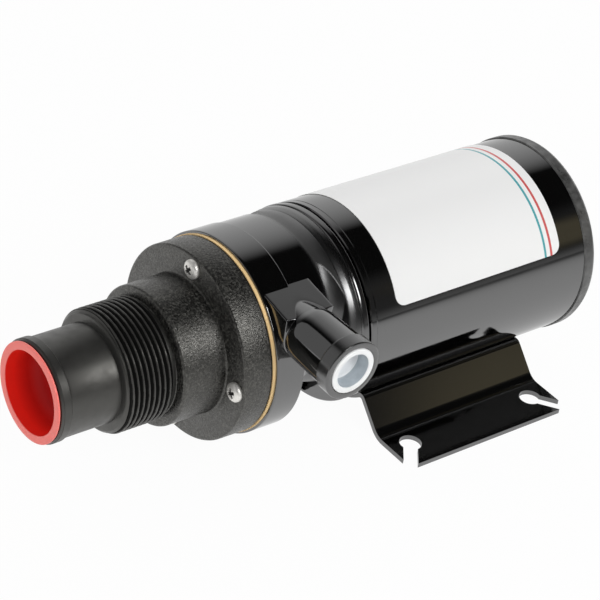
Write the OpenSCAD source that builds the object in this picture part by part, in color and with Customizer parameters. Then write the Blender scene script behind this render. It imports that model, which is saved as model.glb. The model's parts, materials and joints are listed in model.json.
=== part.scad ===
// Macerator toilet pump: a chopper and a rubber vane impeller on one motor shaft, on a sheet bracket.
// Millimetres. X runs along the shaft from the inlet to the motor's rear, Y away from the outlet, Z up.
// The origin is on the base plane, at the centre of the bracket's four slots.

/* [Inlet housing] */
// Outside of the inlet spigot, for a 38 mm hose
spigot_d = 38.8; // [37:0.2:41]
// Length of the spigot in front of the thread
spigot_l = 25.4; // [22:0.2:32]
// How far the end bead stands over the spigot
bead_h = 0.65; // [0.3:0.05:1]
// Length of the end bead
bead_l = 5.3; // [4:0.1:8]
// Bore of the spigot
inlet_bore_d = 34.6; // [32:0.2:35]
// Outside of the pipe thread
thread_d = 48.26; // [47:0.02:49.5]
// Threaded length with its run-out groove
thread_l = 22.25; // [19:0.25:28]
// Outside of the neck behind the thread
neck_d = 54.7; // [53:0.1:58]
// Length of the neck
neck_l = 19.25; // [16:0.25:24]
// Wall of the neck round the chopper
neck_wall = 3.4; // [2.5:0.1:4]
// Outside of the flange
flange_d = 77.2; // [76.6:0.1:79]
// Thickness of the flange
flange_l = 12.2; // [9:0.1:15]

/* [Inlet plug] */
// Outside of the plug's lip
lip_d = 38.9; // [37:0.1:40]
// Thickness of the plug's lip
lip_t = 1.1; // [0.8:0.1:2]
// Wall of the plug's cup
inlet_cup_wall = 1; // [0.7:0.05:1.6]
// Depth of the plug's cup
inlet_cup_l = 15; // [10:0.5:20]

/* [Screws] */
// Circle on which the flange screws stand
screw_circle_d = 67.5; // [66:0.5:68.5]
// Screw shank
screw_d = 4; // [3:0.5:5]
// Screw head diameter
screw_head_d = 7.7; // [6.4:0.1:8]
// Screw head height
screw_head_h = 2.6; // [2:0.1:3]
// Reach of the screws into the pump body
screw_reach = 9; // [6:0.5:11]

/* [Wear plate] */
// Outside of the wear plate
wear_plate_d = 77.8; // [76.8:0.1:79.4]
// Thickness of the wear plate
wear_plate_t = 2; // [1.5:0.1:3]
// Thickness of each gasket
gasket_t = 0.5; // [0.3:0.05:1]
// Hole of the wear plate round the shaft
wear_hole_d = 15; // [12:0.5:18]

/* [Pump body] */
// Outside of the drum
drum_d = 79.6; // [78.6:0.1:82]
// Length of the drum
drum_l = 13.2; // [12.5:0.1:15]
// Length of the body from its front face to the motor plate
body_l = 43.7; // [42:0.1:48]
// Diameter of the impeller chamber
chamber_d = 48; // [44:0.5:49]
// Depth of the impeller chamber
chamber_l = 20.9; // [18:0.1:21.5]
// Outside of the waist
waist_d = 55; // [54:0.5:57]
// Half of the arc that the roof covers
roof_half = 65; // [50:1:75]
// Height of the cam in the chamber
cam_h = 2; // [1:0.1:3]

/* [Outlet] */
// Height of the outlet above the shaft
outlet_z = 21.8; // [20:0.1:23]
// Outlet axis behind the body's front face
outlet_x = 11; // [10.5:0.1:12]
// Reach of the outlet from the shaft's plane
outlet_reach = 65.1; // [60:0.5:75]
// Outlet hose tail at its root
tail_root_d = 22.8; // [22:0.1:24]
// Outlet hose tail at its end
tail_end_d = 24.4; // [24:0.1:25.4]
// Length of the round land at the tail's end
tail_land = 6; // [4:0.5:8]
// Reach of the square block at the outlet's root
block_reach = 38.4; // [36.8:0.2:42]
// Top of the block over the outlet's axis, at its outer face
block_top = 8; // [7:0.1:9]
// Underside of the block below the outlet's axis
block_under = 9; // [8.6:0.1:10]
// Slope of the block's top
block_slope = 9; // [5:1:11]
// Bore of the outlet
outlet_bore_d = 16.6; // [14:0.2:17]
// Seat of the outlet plug
plug_seat_d = 19.1; // [18:0.1:19.6]
// Inside of the outlet plug's cup
outlet_cup_d = 14.2; // [12:0.1:15]
// Length of the outlet plug
outlet_cup_l = 7.5; // [7:0.5:12]

/* [Motor] */
// Outside of the motor can
can_d = 80; // [78:0.5:82]
// Wall of the motor can
can_wall = 2; // [1.5:0.1:2.5]
// Length of the motor can
can_l = 107.8; // [106:0.2:130]
// Thickness of the front plate's rim
plate_rim_t = 2.8; // [2:0.1:4]
// Outside of the rear cap
cap_d = 81; // [80:0.2:84]
// Length of the rear cap behind the can
cap_l = 5.8; // [5:0.1:9]
// Radial thickness of the magnets
magnet_t = 7; // [5:0.25:8]
// Air gap between armature and magnets
air_gap = 0.6; // [0.4:0.05:1]
// Length of the armature core
core_l = 46; // [40:0.5:50]
// Shaft in the bushes
shaft_d = 10; // [9:0.5:11]
// Front end of the shaft under the cutter
nose_d = 8; // [6:0.5:8.5]
// Outside of the commutator
commutator_d = 24; // [22:0.5:26]
// Diameter of the through bolts
bolt_d = 4; // [3:0.5:4.5]
// Rubber grommet of the motor leads, where it passes the rear cap
grommet_d = 10.4; // [9.6:0.2:13]
// Hole for each lead in the grommet
lead_d = 3.4; // [2.6:0.1:3.8]

/* [Cutter and impeller] */
// Width of a cutter blade
blade_w = 7; // [5:0.5:9]
// Thickness of a cutter blade
blade_t = 3; // [2:0.25:4]
// Outside of the cutter's hub
cutter_hub_d = 18; // [15:0.5:20]
// Outside of the slinger disc
slinger_d = 22; // [18:0.5:26]
// Thickness of an impeller vane
vane_t = 3; // [2:0.25:3.5]

/* [Label] */
// Length of the label along the can
label_l = 84.7; // [60:0.5:90]
// Label behind the can's front edge
label_at = 10; // [5:0.5:12]
// Half of the arc that the label covers
label_half = 65.2; // [45:0.5:75]
// Thickness of the label film
label_t = 0.2; // [0.1:0.05:0.4]
// Corner radius of the label
label_corner = 4; // [2:0.5:6]

/* [Bracket] */
// Sheet thickness
sheet_t = 2; // [1.5:0.1:2.2]
// Height of the shaft over the base plane
axis_h = 44.3; // [43.4:0.1:50]
// Length of the bracket along the can
bracket_l = 82.2; // [76:0.2:90]
// Width over both flanges
bracket_w = 122.5; // [118:0.5:136]
// Bracket centre behind the can's front edge
bracket_at = 50.3; // [46:0.1:56]
// Half of the arc on which the can lies
saddle_half = 39; // [32:0.5:41]
// Outer bend radius at the shoulder
shoulder_r = 3.2; // [2.6:0.1:4]
// Slope of the web
web_slope = 45; // [40:1:55]
// Inner bend radius at the flange
foot_r = 7.3; // [4:0.1:8]
// Spacing of the slots along the shaft
slot_dx = 63.5; // [58:0.5:66]
// Spacing of the slots across the shaft
slot_dy = 99; // [98:0.5:104]
// Round seat of a slot
slot_hole_d = 9; // [7:0.1:9.2]
// Share of the seat that the slot's mouth takes
slot_mouth_share = 0.64; // [0.5:0.01:0.66]

/* [Clearances] */
// Radial running clearance of the shaft
run_c = 0.04; // [0.02:0.01:0.08]
// Radial clearance of a plug in its seat
plug_c = 0.08; // [0.05:0.01:0.1]
// Gap between pieces that move past each other
gap_c = 0.3; // [0.25:0.05:0.5]
// Adhesive between the label and the can
glue_t = 0.03; // [0.02:0.01:0.1]

/* [Hidden] */
$fa = 4;
$fs = 0.5;

// Stations along the shaft, from the front of the inlet plug's lip
st_spigot = lip_t + gap_c;
st_thread = st_spigot + spigot_l;
st_neck = st_thread + thread_l;
st_flange = st_neck + neck_l;
st_gasket = st_flange + flange_l;
st_plate = st_gasket + gasket_t;
st_gasket2 = st_plate + wear_plate_t;
st_body = st_gasket2 + gasket_t;
st_drum = st_body + drum_l;
st_rim = st_body + body_l;
st_can = st_rim + plate_rim_t;
st_cap = st_can + can_l;
st_end = st_cap + cap_l;
st_base = st_can + bracket_at;

// Pump body
drum_r = drum_d / 2;
roof_r = drum_r - 0.5;
waist_r = waist_d / 2;
chamber_r = chamber_d / 2;
st_chamber = st_body + chamber_l;
seal_r = 11;
seal_l = 6.4;
st_seal = st_chamber + seal_l;
st_cavity = st_seal + 1.5;
body_flange_l = 8.2;
st_pad = st_rim - body_flange_l;
slinger_fill = 40 / 67;
slinger_hub_l = (st_pad - st_cavity) * slinger_fill;
slinger_t = slinger_hub_l * 0.4;
cavity_r = waist_r - 5.5;
st_roof = st_drum + 15.5;
dip_r = 27.7;
dip_z = 14;
dip_rise = 4.6;
dip_power = 2.4;
dip_steps = 12;
hub_boss_r = 16;

// Motor
can_r = can_d / 2;
can_in = can_r - can_wall;
bolt_r = bolt_d / 2;
bolt_circle_r = can_in - bolt_r - 0.8;
bolt_reach = 6;
bolt_head_r = bolt_d * 0.85;
bolt_head_h = 3;
bolt_sink = 0.4;
bush_r = shaft_d / 2 + 4;
register_l = 3;
register_in = bolt_circle_r - bolt_r - 1.2;
core_r = can_in - magnet_t - air_gap;
st_core = st_can + 24;
st_core2 = st_core + core_l;
winding_l = 11.5;
winding_r = core_r - 2.4;
slot_count = 12;
st_comm = st_cap - 22.8;
comm_l = 11;
st_brush_plate = st_cap - 10.3;
brush_plate_t = 2.5;
st_bush2 = st_cap - 6.8;
bush2_l = 10;
shaft_end = st_bush2 + bush2_l - 0.6;
brush_x = 7;
brush_w = 6;
brush_out = commutator_d / 2 + 14;
box_out = brush_out + 5.5;
spring_r = 2.5;
lead_r = 23;
lead_turn = -40;
grommet_rim = 1.3;

// Chopper and impeller
grind_r = neck_d / 2 - neck_wall;
grind_in = 4;
st_grind = st_neck + grind_in;
nose_r = nose_d / 2;
step_l = 5;
st_step = st_plate - step_l;
cutter_l = 6;
st_cutter = st_step - cutter_l;
nut_h = 6.5;
nut_over = 5;
nut_f = nose_d + nut_over;
st_nose = st_cutter - nut_h - 2;
vane_tip = chamber_r - cam_h - gap_c;
bulb_r = 2.1;
vane_hub_r = 12;
impeller_hub_r = shaft_d / 2 + 3.5;

// Outlet
tail_end_r = tail_end_d / 2;
tail_root_r = tail_root_d / 2;
tail_in = 31;
tail_run = block_reach + 5.6;
block_in = 10;
outlet_cup_out = plug_seat_d / 2 - plug_c;

// Inlet plug
inlet_cup_out = inlet_bore_d / 2 - plug_c;

// Bracket, from the shaft's axis
pad_z = sheet_t - axis_h;
c2_r = can_r + shoulder_r;
c2 = [c2_r * sin(saddle_half), -c2_r * cos(saddle_half)];
web_n = [cos(90 - web_slope), sin(90 - web_slope)];
web_t = [web_n[1], -web_n[0]];
t1 = c2 + shoulder_r * web_n;
join = 0.02;
web_l = (t1[1] + foot_r * cos(web_slope) - pad_z - foot_r) / sin(web_slope);
c3 = [t1[0] + web_l * cos(web_slope) + foot_r * sin(web_slope), pad_z + foot_r];
slot_mouth = slot_hole_d * slot_mouth_share;
slot_turn = atan2(bracket_w - slot_dy, bracket_l - slot_dx);

// How far the label's corner cuts stand in from its edges
label_step = 0.05;

// Stations run along local Z; local X is Y and local Y is Z
module on_axis() { translate([-st_base, 0, axis_h]) rotate([90, 0, 90]) children(); }
// Local Z runs out of the outlet
module on_outlet() {
    translate([st_body + outlet_x - st_base, 0, axis_h + outlet_z]) rotate([90, 0, 0]) children();
}
module rod(r, z0, z1) { translate([0, 0, z0]) cylinder(r = r, h = z1 - z0); }
module ring(r1, r2, z0, z1) {
    difference() { rod(r2, z0, z1); rod(r1, z0 - 1, z1 + 1); }
}
module arc2d(r1, r2, a0, a1) {
    am = (a0 + a1) / 2;
    f = 2 * r2;
    intersection() {
        difference() { circle(r = r2); circle(r = r1); }
        polygon([[0, 0], [f * cos(a0), f * sin(a0)], [f * cos(am), f * sin(am)], [f * cos(a1), f * sin(a1)]]);
    }
}
module at_screws() { for (a = [0 : 90 : 270]) rotate([0, 0, a]) translate([screw_circle_d / 2, 0, 0]) children(); }
module at_bolts() { for (a = [90, 270]) rotate([0, 0, a]) translate([bolt_circle_r, 0, 0]) children(); }
module at_lead() { rotate([0, 0, lead_turn]) translate([lead_r, 0, 0]) children(); }
module at_brushes() { for (a = [0, 180]) rotate([0, 0, a]) children(); }

// Red transit plug: a flat lip and a cup in the spigot's bore
module inlet_plug() color([0.85, 0.2, 0.18]) on_axis() rotate_extrude() polygon([
    [0, inlet_cup_l], [0, inlet_cup_l - inlet_cup_wall],
    [inlet_cup_out - inlet_cup_wall - 1.2, inlet_cup_l - inlet_cup_wall],
    [inlet_cup_out - inlet_cup_wall, inlet_cup_l - inlet_cup_wall - 1.2],
    [inlet_cup_out - inlet_cup_wall, 0], [lip_d / 2 - 0.2, 0], [lip_d / 2, 0.2], [lip_d / 2, lip_t],
    [inlet_cup_out, lip_t], [inlet_cup_out, inlet_cup_l - 1], [inlet_cup_out - 1, inlet_cup_l]]);

// Inlet housing: spigot with bead, thread blank, neck round the chopper, flange
module macerator_housing() color([0.16, 0.16, 0.16]) on_axis() difference() {
    sr = spigot_d / 2;
    tr = thread_d / 2;
    nr = neck_d / 2;
    fr = flange_d / 2;
    br = inlet_bore_d / 2;
    rotate_extrude() polygon([
        [br, st_spigot], [sr - 0.1, st_spigot], [sr + bead_h, st_spigot + 0.9],
        [sr + bead_h, st_spigot + bead_l - 1.4], [sr, st_spigot + bead_l],
        [sr, st_thread], [tr - 2, st_thread], [tr - 0.5, st_thread + 1.2], [tr, st_thread + 2.6],
        [tr, st_neck - 2], [tr - 1.5, st_neck - 1.2], [tr - 1.5, st_neck],
        [nr - 1, st_neck], [nr - 0.3, st_neck + 0.3], [nr, st_neck + 1],
        [nr, st_flange - 1.5], [nr + 0.45, st_flange - 0.45], [nr + 1.5, st_flange],
        [fr - 1.1, st_flange], [fr - 0.4, st_flange + 0.3], [fr - 0.1, st_flange + 1],
        [fr, st_gasket], [grind_r, st_gasket], [grind_r, st_grind], [br, st_grind - 3]]);
    at_screws() rod(screw_d / 2, st_flange - 1, st_gasket + 1);
}

// Four pan-head screws through flange and plate
module housing_screws() color([0.75, 0.75, 0.74]) on_axis() at_screws() {
    rod(screw_d / 2, st_flange, st_body + screw_reach);
    intersection() {
        rod(screw_head_d / 2, st_flange - screw_head_h, st_flange);
        translate([0, 0, st_flange - screw_head_h + screw_head_d * 0.75]) sphere(r = screw_head_d * 0.75);
    }
}

module gasket_at(z) {
    difference() {
        ring(max(grind_r, chamber_r), wear_plate_d / 2 - 0.5, z, z + gasket_t);
        at_screws() rod(screw_d / 2, z - 1, z + gasket_t + 1);
    }
}
module front_gasket() color([0.1, 0.1, 0.1]) on_axis() gasket_at(st_gasket);
module rear_gasket() color([0.1, 0.1, 0.1]) on_axis() gasket_at(st_gasket2);

// Brass plate with the shaft hole and the port from the chopper to the impeller
module wear_plate() color([0.83, 0.69, 0.4]) on_axis() difference() {
    ring(wear_hole_d / 2, wear_plate_d / 2, st_plate, st_gasket2);
    at_screws() rod(screw_d / 2, st_plate - 1, st_gasket2 + 1);
    rotate([0, 0, 290]) rotate_extrude(angle = 90) translate([vane_hub_r + 0.5, st_plate - 1])
        square([grind_r - vane_hub_r - 2, wear_plate_t + 2]);
}

// Hose tail growing out of the block; the body's front plane cuts a flat along it
module outlet_tail() {
    rotate_extrude() polygon([
        [0, tail_in], [tail_root_r - 2.4, tail_in], [tail_root_r - 0.9, block_reach],
        [tail_root_r - 0.2, block_reach + 3], [tail_root_r, tail_run],
        [tail_end_r, outlet_reach - tail_land], [tail_end_r, outlet_reach - 3], [0, outlet_reach - 3]]);
}
// Square block at the outlet's root, its top falling outwards
module outlet_block() {
    rise = (block_reach - block_in) * tan(block_slope);
    translate([outlet_x, 0, 0]) rotate([0, -90, 0]) linear_extrude(2 * outlet_x) polygon([
        [block_in, -block_under], [block_reach, -block_under], [block_reach, block_top - 0.3],
        [block_reach - 0.3, block_top], [block_in, block_top + rise]]);
}
// Round land with the chamfered end
module outlet_land() {
    rotate_extrude() polygon([
        [0, outlet_reach - tail_land], [tail_end_r, outlet_reach - tail_land],
        [tail_end_r, outlet_reach - 2.6], [tail_end_r - 0.6, outlet_reach - 0.5],
        [tail_end_r - 1.1, outlet_reach], [0, outlet_reach]]);
}

// Gloss body: drum with the impeller chamber, outlet, roof, waist with the drain window, motor flange
module pump_body() color([0.05, 0.05, 0.05]) { pump_shell(); cam(); }
module pump_shell() difference() {
    union() {
        on_axis() {
            rotate_extrude() polygon([
                [0, st_body], [drum_r - 0.3, st_body], [drum_r, st_body + 0.3],
                [drum_r, st_drum - 0.4], [drum_r - 0.4, st_drum],
                [waist_r + 1.6, st_drum], [waist_r + 0.5, st_drum + 0.5], [waist_r, st_drum + 1.6],
                [waist_r, st_pad - 7.5], [waist_r + 1.2, st_pad - 4], [waist_r + 3.6, st_pad - 1.5],
                [can_r - 5, st_pad - 0.5], [can_r - 1.8, st_pad - 0.1], [can_r - 1, st_pad + 0.3],
                [can_r - 0.55, st_pad + 1.6], [can_r - 0.25, st_pad + 3], [can_r - 0.2, st_pad + 4.4],
                [can_r - 0.5, st_pad + 4.9], [can_r, st_pad + 5.5], [can_r + 0.15, st_pad + 6.2],
                [can_r + 0.15, st_rim - 0.6], [can_r - 0.4, st_rim], [0, st_rim]]);
            difference() {
                rotate([0, 0, 90 - roof_half]) rotate_extrude(angle = 2 * roof_half) polygon([
                    [waist_r - 1, st_drum - 1], [roof_r, st_drum - 1], [roof_r, st_pad + 0.3],
                    [roof_r - 0.6, st_pad + 0.9], [waist_r - 1, st_pad + 0.9]]);
                roof_dip();
            }
        }
        intersection() {
            on_outlet() outlet_tail();
            translate([st_body - st_base, -2 * outlet_reach, -outlet_reach])
                cube([body_l, 3 * outlet_reach, 4 * outlet_reach]);
        }
        on_outlet() {
            outlet_block();
            outlet_land();
        }
    }
    on_axis() {
        rod(chamber_r, st_body - 1, st_chamber);
        rod(seal_r, st_body, st_seal);
        rod(shaft_d / 2 + 1.5, st_body, st_rim + 1);
        rod(cavity_r, st_cavity, st_pad);
        rod(hub_boss_r, st_pad - 1, st_rim + 1);
        translate([-12, -waist_r - 5, st_cavity]) cube([24, waist_r, st_pad - st_cavity]);
        at_screws() rod(screw_d / 2, st_body - 1, st_body + screw_reach);
        at_bolts() rod(bolt_r, st_rim - bolt_reach - 0.5, st_rim + 1);
    }
    on_outlet() {
        rod(outlet_bore_d / 2, -6, outlet_reach);
        rod(plug_seat_d / 2, outlet_reach - outlet_cup_l - 1.5, outlet_reach + 1);
    }
}
// Hollow behind the roof's edge: it runs out near the top and deepens down both sides
module roof_dip() {
    far = 2 * can_r;
    l = st_pad - st_roof;
    translate([0, dip_z, 0]) rotate_extrude() polygon(concat(
        [[far, st_roof]],
        [for (i = [0 : dip_steps]) let (t = i / dip_steps)
            [dip_r + dip_rise * pow(t, dip_power), st_roof + t * l]],
        [[far, st_roof + l]]));
}
// Rise in the chamber that bends the vanes
module cam() {
    on_axis() rotate([0, 0, 30]) rotate_extrude(angle = 40)
        translate([chamber_r - cam_h, st_body + gap_c]) square([cam_h + 1, chamber_l]);
}

// White transit plug in the outlet
module outlet_plug() color([0.93, 0.93, 0.92]) on_outlet() rotate_extrude() polygon([
    [0, outlet_reach - outlet_cup_l], [outlet_cup_out - 0.8, outlet_reach - outlet_cup_l],
    [outlet_cup_out, outlet_reach - outlet_cup_l + 0.8], [outlet_cup_out, outlet_reach - 0.1],
    [outlet_cup_out - 0.5, outlet_reach + 0.4], [outlet_cup_d / 2 + 0.3, outlet_reach + 0.4],
    [outlet_cup_d / 2, outlet_reach + 0.1], [outlet_cup_d / 2, outlet_reach - outlet_cup_l + 1.2],
    [0, outlet_reach - outlet_cup_l + 1.2]]);

// Four chopper blades on one hub
module cutter() color([0.7, 0.7, 0.7]) on_axis() difference() {
    union() {
        rod(cutter_hub_d / 2, st_cutter, st_step);
        intersection() {
            for (a = [0, 90]) rotate([0, 0, a]) translate([-grind_r, -blade_w / 2, st_cutter])
                cube([2 * grind_r, blade_w, blade_t]);
            rod(grind_r - 1.2, st_cutter, st_step);
        }
    }
    rod(nose_r, st_cutter - 1, st_step + 1);
}
module cutter_nut() color([0.78, 0.78, 0.78]) on_axis() difference() {
    translate([0, 0, st_cutter - nut_h]) cylinder(d = nut_f / cos(30), h = nut_h, $fn = 6);
    rod(nose_r, st_cutter - nut_h - 1, st_cutter + 1);
}

// Rubber vanes with bulb tips round a brass hub
module impeller() color([0.12, 0.12, 0.13]) on_axis() {
    z0 = st_body + gap_c;
    z1 = st_chamber - gap_c;
    difference() {
        union() {
            rod(vane_hub_r, z0, z1);
            for (i = [0 : 5]) rotate([0, 0, 15 + 60 * i]) {
                translate([vane_hub_r - 2, -vane_t / 2, z0]) cube([vane_tip - bulb_r - vane_hub_r + 2, vane_t, z1 - z0]);
                translate([vane_tip - bulb_r, 0, 0]) rod(bulb_r, z0, z1);
            }
        }
        rod(impeller_hub_r, z0 - 1, z1 + 1);
    }
}
module impeller_hub() color([0.8, 0.65, 0.35]) on_axis()
    ring(shaft_d / 2, impeller_hub_r, st_body + gap_c, st_chamber - gap_c);

module shaft_seal() color([0.1, 0.1, 0.1]) on_axis() difference() {
    rod(seal_r, st_chamber, st_seal);
    rod(shaft_d / 2 + run_c, st_chamber - 1, st_seal + 1);
}
module slinger() color([0.1, 0.1, 0.1]) on_axis() {
    zm = (st_cavity + st_pad) / 2;
    ring(shaft_d / 2, shaft_d / 2 + 2, zm - slinger_hub_l / 2, zm + slinger_hub_l / 2);
    ring(shaft_d / 2, slinger_d / 2, zm - slinger_t / 2, zm + slinger_t / 2);
}

// One shaft from the cutter to the rear bush
module shaft() color([0.72, 0.72, 0.72]) on_axis() {
    rod(nose_r, st_nose, st_step);
    rod(shaft_d / 2, st_step, shaft_end);
}

// Front plate: rim between the seams, register in the can, boss for the front bush
module motor_front_plate() color([0.08, 0.08, 0.08]) on_axis() difference() {
    union() {
        rotate_extrude() polygon([
            [0, st_rim], [can_r - 0.4, st_rim], [can_r, st_rim + 0.4], [can_r, st_can - 0.2],
            [can_r - 0.2, st_can], [0, st_can]]);
        rod(hub_boss_r, st_pad, st_rim + 1);
        ring(register_in, can_in, st_can - 1, st_can + register_l);
        rod(bush_r + 3, st_can - 1, st_can + 2);
    }
    rod(bush_r, st_pad - 1, st_can + register_l + 1);
    at_bolts() rod(bolt_r, st_rim - 1, st_can + register_l + 1);
}
module front_bush() color([0.7, 0.5, 0.3]) on_axis()
    ring(shaft_d / 2 + run_c, bush_r, st_pad, st_can + 2);
module rear_bush() color([0.7, 0.5, 0.3]) on_axis()
    ring(shaft_d / 2 + run_c, bush_r, st_bush2, st_bush2 + bush2_l);
// Washers that lie against the inner face of each bush
module thrust_washers() color([0.45, 0.3, 0.2]) on_axis() {
    ring(shaft_d / 2 + run_c, bush_r - 0.5, st_can + 2, st_can + 2.8);
    ring(shaft_d / 2 + run_c, bush_r - 0.5, st_bush2 - 0.8, st_bush2);
}

module motor_can() color([0.04, 0.04, 0.04]) on_axis() rotate_extrude() polygon([
    [can_in, st_can], [can_r - 0.2, st_can], [can_r, st_can + 0.2],
    [can_r, st_cap - 0.2], [can_r - 0.2, st_cap], [can_in, st_cap]]);

module magnets() color([0.25, 0.25, 0.27]) on_axis() for (a = [-65, 115])
    rotate([0, 0, a]) rotate_extrude(angle = 130)
        translate([can_in - magnet_t, st_core - 5]) square([magnet_t, core_l + 10]);

module winding_slots(r_out, z0, z1) {
    for (i = [0 : slot_count - 1]) rotate([0, 0, (i + 0.5) * 360 / slot_count])
        translate([core_r * 0.5, -2, z0]) cube([r_out - core_r * 0.5, 4, z1 - z0]);
}
module armature_core() color([0.45, 0.45, 0.46]) on_axis() difference() {
    ring(shaft_d / 2, core_r, st_core, st_core2);
    winding_slots(core_r + 1, st_core - 1, st_core2 + 1);
}
module armature_winding() color([0.72, 0.4, 0.2]) on_axis() {
    winding_slots(winding_r - 1, st_core - 1, st_core2 + 1);
    for (z = [st_core - winding_l, st_core2]) rotate_extrude() polygon([
        [shaft_d / 2 + 3, z], [winding_r - 2, z], [winding_r, z + 2], [winding_r, z + winding_l - 2],
        [winding_r - 2, z + winding_l], [shaft_d / 2 + 3, z + winding_l]]);
}
module commutator() color([0.75, 0.45, 0.25]) on_axis() difference() {
    ring(shaft_d / 2, commutator_d / 2, st_comm, st_comm + comm_l);
    for (i = [0 : slot_count - 1]) rotate([0, 0, i * 360 / slot_count])
        translate([commutator_d / 2 - 1.2, -0.4, st_comm - 1]) cube([3, 0.8, comm_l + 2]);
}

// Plate with two brush boxes, carried by the rear cap
module brush_plate() color([0.35, 0.2, 0.12]) on_axis() difference() {
    union() {
        ring(commutator_d / 2 + 2, can_in - 0.5, st_brush_plate, st_brush_plate + brush_plate_t);
        at_brushes() translate([commutator_d / 2 + 2.5, -brush_w / 2 - 1.2, st_brush_plate - brush_x - 2.4])
            cube([box_out + 1.4 - commutator_d / 2 - 2.5, brush_w + 2.4, brush_x + 3]);
    }
    at_brushes() translate([0, -brush_w / 2, st_brush_plate - brush_x - 1.2]) cube([box_out, brush_w, brush_x]);
    at_bolts() translate([-bolt_r - gap_c, -bolt_r - gap_c, st_brush_plate - 1])
        cube([can_r, bolt_d + 2 * gap_c, brush_plate_t + 2]);
}
module brushes() color([0.15, 0.15, 0.16]) on_axis() at_brushes()
    translate([commutator_d / 2 + gap_c, -brush_w / 2, st_brush_plate - brush_x - 1.2])
        cube([brush_out - commutator_d / 2 - gap_c, brush_w, brush_x]);
module brush_springs() color([0.7, 0.7, 0.7]) on_axis() at_brushes()
    translate([0, 0, st_brush_plate - 1.2 - brush_x / 2]) rotate([0, 90, 0])
        ring(spring_r - 0.6, spring_r, brush_out, box_out);

// Rear cap with its register, the bush pocket and the sunk bolt heads
module rear_cap() color([0.2, 0.2, 0.2]) on_axis() difference() {
    union() {
        rotate_extrude() polygon([
            [0, st_cap], [cap_d / 2 - 0.5, st_cap], [cap_d / 2, st_cap + 0.3],
            [cap_d / 2, st_end - 1.6], [cap_d / 2 - 0.5, st_end - 0.5], [cap_d / 2 - 1.6, st_end],
            [0, st_end]]);
        ring(register_in - 1, can_in, st_brush_plate + brush_plate_t, st_cap + 1);
        rod(bush_r + 3, st_bush2, st_cap + 1);
    }
    rod(bush_r, st_bush2 - 1, st_bush2 + bush2_l);
    at_bolts() {
        rod(bolt_r, st_brush_plate, st_end + 1);
        rod(bolt_head_r, st_end - bolt_head_h - bolt_sink, st_end + 1);
    }
    at_lead() {
        rod(grommet_d / 2, st_cap - 1, st_end + 1);
        rod(grommet_d / 2 + grommet_rim, st_end - grommet_rim, st_end + 1);
    }
}
module through_bolts() color([0.7, 0.7, 0.7]) on_axis() at_bolts() {
    rod(bolt_r, st_rim - bolt_reach, st_end - bolt_sink - 1);
    rod(bolt_head_r, st_end - bolt_head_h - bolt_sink, st_end - bolt_sink);
}

// Rubber grommet in the rear cap, with one hole for each motor lead
module lead_grommet() color([0.09, 0.09, 0.09]) on_axis() at_lead() difference() {
    union() {
        rod(grommet_d / 2, st_cap - grommet_rim, st_end);
        rod(grommet_d / 2 + grommet_rim, st_cap - grommet_rim, st_cap);
        rod(grommet_d / 2 + grommet_rim, st_end - grommet_rim, st_end);
    }
    for (side = [-1, 1]) translate([0, side * (lead_d / 2 + 0.5), 0])
        rod(lead_d / 2, st_cap - grommet_rim - 1, st_end + 1);
}

// Film on the upper side of the can, corners rounded
module label() color([0.95, 0.95, 0.94]) on_axis() difference() {
    z0 = st_can + label_at;
    rc = label_corner;
    inset = rc + label_step;
    rotate([0, 0, 90 - label_half]) rotate_extrude(angle = 2 * label_half)
        translate([can_r + glue_t, z0]) square([label_t, label_l]);
    for (side = [0, 1], end = [0, 1]) mirror([side, 0, 0])
        rotate([0, 0, 90 - label_half + inset / can_r * 180 / PI])
            translate([can_r, 0, z0 + inset + end * (label_l - 2 * inset)]) mirror([0, 0, 1 - end]) difference() {
                translate([-2, -rc - 2, 0]) cube([5, rc + 2, rc + 2]);
                translate([-3, 0, 0]) rotate([0, 90, 0]) cylinder(r = rc, h = 7);
            }
}

// Half of the bracket's section, on the +Y side, from the shaft's axis
module bracket_half() {
    arc2d(can_r, can_r + sheet_t, 270, 270 + saddle_half);
    translate(c2) arc2d(shoulder_r - sheet_t, shoulder_r, 90 - web_slope, 90 + saddle_half);
    polygon([c2 + shoulder_r * web_n - join * web_t, c2 + (shoulder_r - sheet_t) * web_n - join * web_t,
        c3 - (foot_r + sheet_t) * web_n + join * web_t, c3 - foot_r * web_n + join * web_t]);
    translate(c3) arc2d(foot_r, foot_r + sheet_t, 270 - web_slope, 270);
    translate([c3[0], -axis_h]) square([bracket_w / 2 - c3[0], sheet_t]);
}
module mounting_bracket() color([0.05, 0.05, 0.05]) difference() {
    translate([-bracket_l / 2, 0, axis_h]) rotate([90, 0, 90]) linear_extrude(bracket_l) {
        bracket_half();
        mirror([1, 0]) bracket_half();
    }
    for (sx = [-1, 1], sy = [-1, 1]) translate([sx * slot_dx / 2, sy * slot_dy / 2, -1]) {
        cylinder(d = slot_hole_d, h = sheet_t + 2);
        rotate([0, 0, atan2(sy * sin(slot_turn), sx * cos(slot_turn))])
            translate([0, -slot_mouth / 2, 0]) cube([30, slot_mouth, sheet_t + 2]);
    }
}

inlet_plug();
macerator_housing();
housing_screws();
front_gasket();
wear_plate();
rear_gasket();
pump_body();
outlet_plug();
cutter();
cutter_nut();
impeller();
impeller_hub();
shaft_seal();
slinger();
shaft();
motor_front_plate();
front_bush();
rear_bush();
thrust_washers();
motor_can();
magnets();
armature_core();
armature_winding();
commutator();
brush_plate();
brushes();
brush_springs();
rear_cap();
through_bolts();
lead_grommet();
label();
mounting_bracket();
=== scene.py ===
"""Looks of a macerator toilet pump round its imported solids: finishes, thread, screws, soft edges, studio."""
import json
import math

import bmesh
import bpy
import numpy as np
from mathutils import Matrix, Vector

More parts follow.
